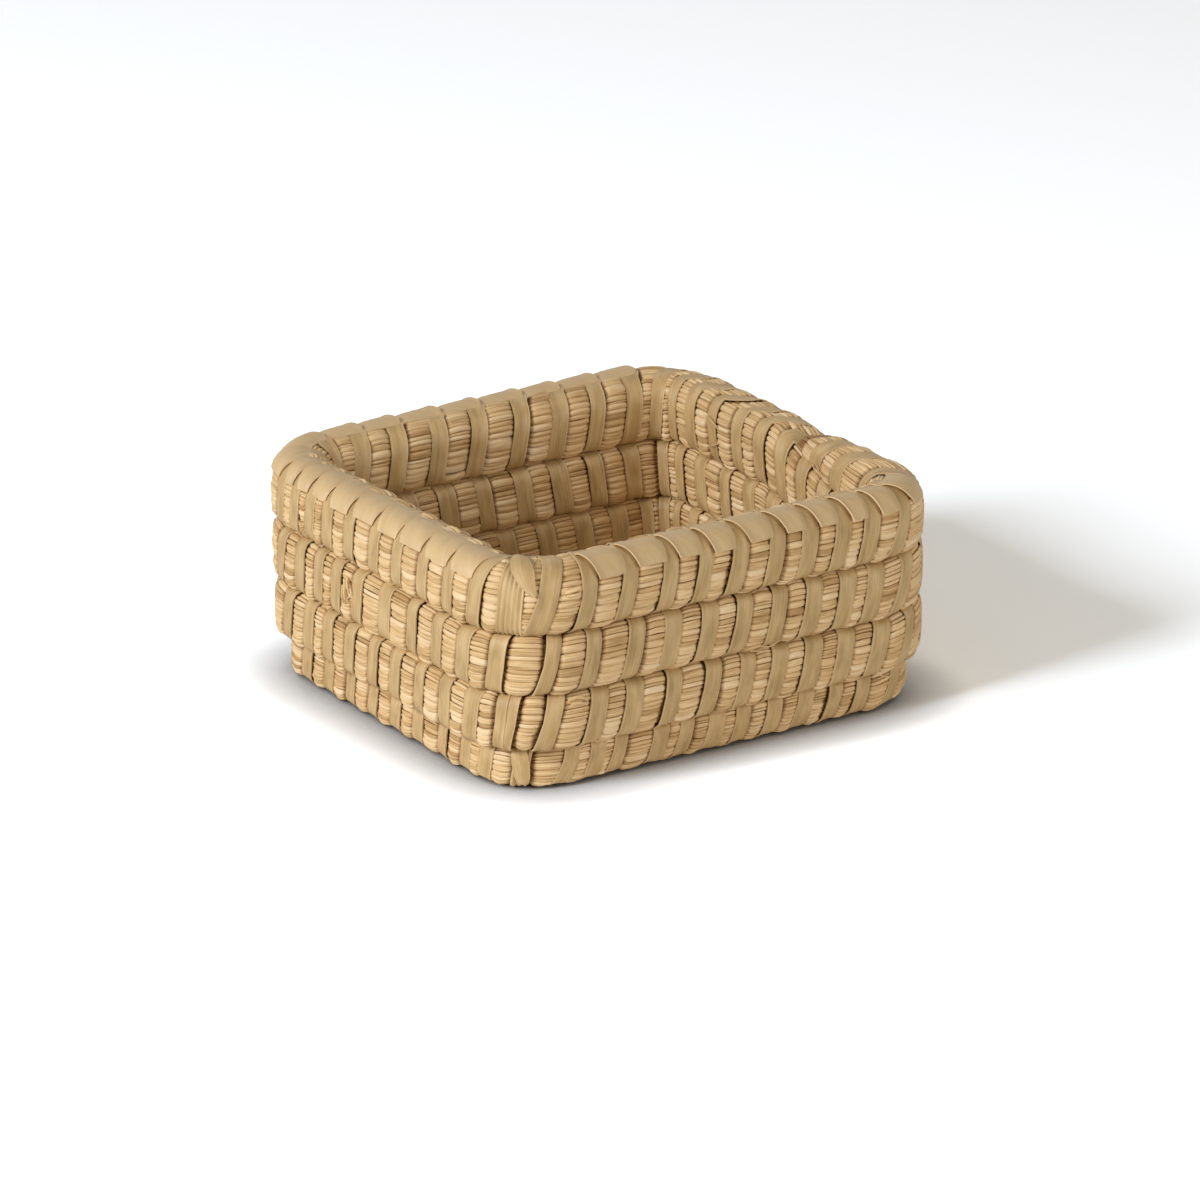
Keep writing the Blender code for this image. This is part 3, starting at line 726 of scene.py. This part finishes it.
def strawMaterial():
    material, nodes, links, shader = newMaterial("dryStraw", straw["roughness"])
    u, v = uvParts(nodes, links, "along")
    fromWrap, tone = uvParts(nodes, links, "cell")
    stem = mathNode(nodes, links, "FLOOR", v)
    part = mathNode(nodes, links, "FRACT", v)
    slow = mathNode(nodes, links, "MULTIPLY", u, 60.0)
    drift = noise(nodes, links, vectorOf(nodes, links, slow, mathNode(nodes, links, "MULTIPLY", stem, 3.7)), 2.0)
    fast = mathNode(nodes, links, "MULTIPLY", u, 120.0)
    fibre = noise(nodes, links, vectorOf(nodes, links, fast, mathNode(nodes, links, "MULTIPLY", v, 7.0)), 4.0)
    mixed = mathNode(nodes, links, "MULTIPLY_ADD", tone, 0.55, mathNode(nodes, links, "MULTIPLY", drift, 0.25))
    mixed = mathNode(nodes, links, "MULTIPLY_ADD", mathNode(nodes, links, "SUBTRACT", fibre, 0.25), 0.9, mixed)
    colours = ramp(nodes, [(0.43, straw["dark"]), (0.55, straw["mid"]), (0.68, straw["light"]), (0.82, straw["pale"])])
    links.new(mixed, colours.inputs[0])
    # painted shade where two stems meet, and a painted shadow where they go under a wrap
    fromMiddle = mathNode(nodes, links, "ABSOLUTE", mathNode(nodes, links, "SUBTRACT", part, 0.5))
    ragged = mathNode(nodes, links, "MULTIPLY_ADD", mathNode(nodes, links, "SUBTRACT", drift, 0.5), 0.22, fromMiddle)
    # painted shade in the gaps between stems
    paintedGapShade = ramp(nodes, [(0.38, (1.0, 1.0, 1.0)), (0.48, straw["paintedGapShade"])])
    links.new(ragged, paintedGapShade.inputs[0])
    reach = mathNode(nodes, links, "MULTIPLY_ADD", mathNode(nodes, links, "SUBTRACT", drift, 0.5), 0.12, fromWrap)
    # painted shadow of the wrap's raised edge, near where the stems go under it
    paintedWrapShadow = ramp(nodes, [(0.27, straw["paintedWrapShadow"]), (0.36, (1.0, 1.0, 1.0))])
    links.new(reach, paintedWrapShadow.inputs[0])
    product = mixColour(nodes, links, "MULTIPLY", 1.0, colours.outputs[0], paintedGapShade.outputs[0])
    product = mixColour(nodes, links, "MULTIPLY", 1.0, product, paintedWrapShadow.outputs[0])
    links.new(product, shader.inputs["Base Color"])
    bumped(nodes, links, shader, fibre, 0.5, 0.0003)
    return material


def leafMaterial():
    material, nodes, links, shader = newMaterial("leafStrip", leaf["roughness"])
    u, v = uvParts(nodes, links, "along")
    veinWay = vectorOf(nodes, links, mathNode(nodes, links, "MULTIPLY", u, 40.0), mathNode(nodes, links, "MULTIPLY", v, 9.0))
    vein = noise(nodes, links, veinWay, 3.0)
    cloudWay = vectorOf(nodes, links, mathNode(nodes, links, "MULTIPLY", u, 130.0), mathNode(nodes, links, "MULTIPLY", v, 0.9))
    cloud = noise(nodes, links, cloudWay, 2.0)
    mixed = mathNode(nodes, links, "MULTIPLY_ADD", vein, 0.45, mathNode(nodes, links, "MULTIPLY", cloud, 0.55))
    colours = ramp(nodes, [(0.36, leaf["dark"]), (0.49, leaf["mid"]), (0.62, leaf["light"])])
    links.new(mixed, colours.inputs[0])
    # a thin paler line along the edge that stands up: a painted highlight where the raised edge catches the light
    rim = ramp(nodes, [(0.80, (0.0, 0.0, 0.0)), (0.93, (1.0, 1.0, 1.0))])
    links.new(v, rim.inputs[0])
    withEdgeHighlight = mixColour(nodes, links, "MIX", mathNode(nodes, links, "MULTIPLY", rim.outputs[0], 0.6), colours.outputs[0], leaf["edge"])
    links.new(withEdgeHighlight, shader.inputs["Base Color"])
    bumped(nodes, links, shader, vein, 0.4, 0.0002)
    return material


strawMat = strawMaterial()
leafMat = leafMaterial()
coreShadeMat, nodes, links, shader = newMaterial("innerShadeStraw", 0.9)
shader.inputs["Base Color"].default_value = (*core["colour"], 1.0)


def finishPiece(made, material, smooth, nodeName):
    made.data.materials.clear()
    made.data.materials.append(material)
    makeActive(made)
    if smooth:
        bpy.ops.object.shade_smooth_by_angle(angle=math.radians(smooth))
    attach(made, "root")
    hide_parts(nodeName)


def facesOutward(made):
    makeActive(made)
    bpy.ops.object.mode_set(mode="EDIT")
    bpy.ops.mesh.select_all(action="SELECT")
    bpy.ops.mesh.normals_make_consistent(inside=False)
    bpy.ops.object.mode_set(mode="OBJECT")


nodeNames = {"baseRow": "base_row", "row3": "row_3", "row2": "row_2", "rim": "rim"}
for row in ("floor", "baseRow", "row3", "row2", "rim"):
    made = stemRow(row)
    facesOutward(made)
    finishPiece(made, strawMat, 70.0, "stem_coil")
    finishPiece(coreRow(row), coreShadeMat, 0, "stem_coil")
    print("stems:", row, len(made.data.polygons))

plainMaster = makeGridMaster(bands["across"], bands["around"], "bandMaster")
ribbedMaster = makeGridMaster(28, bands["around"], "ribbedMaster")
for row in ("floor", "baseRow", "row3", "row2", "rim"):
    groups = {}
    for n in [n for n, name in enumerate(wrapNames[:-1]) if name == row]:  # the last place only ends the stems
        if row == "floor":
            side = "Inner" if wrapAt[n] < rowStart(2) else "Middle" if wrapAt[n] < rowStart(3) else "Outer"
        else:
            side = wrapSides[n]
        groups.setdefault(side, []).append(n)
    for side, chosen in groups.items():
        made = bandRow(chosen, f"{row}Bands{side}", plainMaster, ribbedMaster)
        node = f"floor_strip_{side.lower()}" if row == "floor" else f"{nodeNames[row]}_strip_{side.lower()}"
        finishPiece(made, leafMat, 50.0, node)
    print("bands:", row, sum(len(chosen) for chosen in groups.values()))

foldMaster = makeGridMaster(folds["across"], folds["down"], "foldMaster")
rimNumbers = [n for n, name in enumerate(wrapNames) if name == "rim"]
skipped = [rowStart(7) + place for place in folds["skip"]]
for side in ("Back", "Left", "Front"):
    chosen = [n for n in rimNumbers[:-1] if wrapSides[n] == side and min(abs(wrapAt[n] - place) for place in skipped) > 0.5]
    made = foldRow(chosen, f"rimFolds{side}", foldMaster)
    finishPiece(made, leafMat, 50.0, f"rim_strip_{side.lower()}")
print("folds over the rim:", len(rimNumbers) - 1)

strandMaster = makeTubeMaster(9, 6, "strandMaster")
for kind in ("stubs", "frays"):
    copies = [strandCopy(row, points, *strandMaster, f"{kind}{n}") for n, (row, points) in enumerate(oddBits[kind])]
    made = joinCopies(copies, kind)
    facesOutward(made)
    finishPiece(made, strawMat, 60.0, "stem_coil")
leafMaster = makeGridMaster(6, 10, "leafMaster")
copies = [leafCopy(row, points, *leafMaster, f"looseLeaf{n}") for n, (row, points) in enumerate(oddBits["leaves"])]
made = thickened(joinCopies(copies, "looseLeaves"), 0.45)
finishPiece(made, leafMat, 50.0, "rim_strip_left")
for master in (plainMaster, ribbedMaster, foldMaster, strandMaster, leafMaster):
    bpy.data.objects.remove(master[0], do_unlink=True)
print("odd bits done")

studio = {
    "floorColour": (0.95, 0.95, 0.95), "floorSize": 6.0,
    "floorSeen": (2.1, 2.3, 2.6),  # the floor as the camera sees it, so that it is white round the shadow
    "shadowReach": 0.022, "shadowDepth": 1.8, "shadowSeen": (0.10, 0.11, 0.13),
    "fillColour": (1.0, 0.86, 0.66), "fillStrength": 0.20,
    # place, energy, size, colour
    "lights": [((-1.8, -0.06, 1.00), 31.0, 0.7, (1.0, 1.0, 1.0)), ((0.4, -1.75, 0.55), 10.0, 0.9, (1.0, 0.94, 0.86))],
}
deselectAll()
bpy.ops.mesh.primitive_plane_add(size=studio["floorSize"], location=(0.0, 0.0, 0.0))
floor = bpy.context.active_object
floor.name = "tableTop"
floorMat, nodes, links, shader = newMaterial("tableTop", 0.9)
rays = nodes.new("ShaderNodeLightPath")
near = nodes.new("ShaderNodeAmbientOcclusion")  # the soft shadow that hugs the foot of the basket
near.samples = 4
near.inputs["Distance"].default_value = studio["shadowReach"]
darker = mathNode(nodes, links, "POWER", near.outputs["AO"], studio["shadowDepth"])
seenFloor = mixColour(nodes, links, "MIX", darker, studio["shadowSeen"], studio["floorSeen"])
links.new(mixColour(nodes, links, "MIX", rays.outputs["Is Camera Ray"], studio["floorColour"], seenFloor), shader.inputs["Base Color"])
floor.data.materials.append(floorMat)

world = bpy.data.worlds.new("studio")
bpy.context.scene.world = world
world.use_nodes = True
nodes, links = world.node_tree.nodes, world.node_tree.links
rays = nodes.new("ShaderNodeLightPath")
seen = mathNode(nodes, links, "MAXIMUM", rays.outputs["Is Camera Ray"], rays.outputs["Is Glossy Ray"])
seen = mathNode(nodes, links, "MAXIMUM", seen, rays.outputs["Is Transmission Ray"])
strength = nodes.new("ShaderNodeMix")
strength.inputs["A"].default_value = studio["fillStrength"]
strength.inputs["B"].default_value = 1.0
links.new(seen, strength.inputs["Factor"])
links.new(strength.outputs["Result"], nodes["Background"].inputs["Strength"])
links.new(mixColour(nodes, links, "MIX", seen, studio["fillColour"], (1.0, 1.0, 1.0)), nodes["Background"].inputs["Color"])

camera = {"turn": -33.5, "tilt": 20.25, "distance": 2.178, "lens": 231.0, "right": 0.9, "up": -8.3, "height": 33.0}
az, el = math.radians(camera["turn"]), math.radians(camera["tilt"])
back = Vector((math.sin(az) * math.cos(el), -math.cos(az) * math.cos(el), math.sin(el)))
right = Vector((math.cos(az), math.sin(az), 0.0))
aim = Vector((0.0, 0.0, camera["height"] * mm)) + right * camera["right"] * mm + back.cross(right) * camera["up"] * mm
deselectAll()
bpy.ops.object.camera_add(location=aim + back * camera["distance"])
view = bpy.context.active_object
view.data.lens = camera["lens"]
view.data.sensor_width = 36.0
view.data.clip_start, view.data.clip_end = 0.05, 50.0
view.rotation_euler = back.to_track_quat("Z", "Y").to_euler()
bpy.context.scene.camera = view

for place, energy, size, colour in studio["lights"]:
    bpy.ops.object.light_add(type="AREA", location=place)
    lamp = bpy.context.active_object
    lamp.data.energy = energy
    lamp.data.size = size
    lamp.data.color = colour
    lamp.rotation_euler = Vector(place).to_track_quat("Z", "Y").to_euler()
bpy.context.scene.view_settings.view_transform = "Standard"
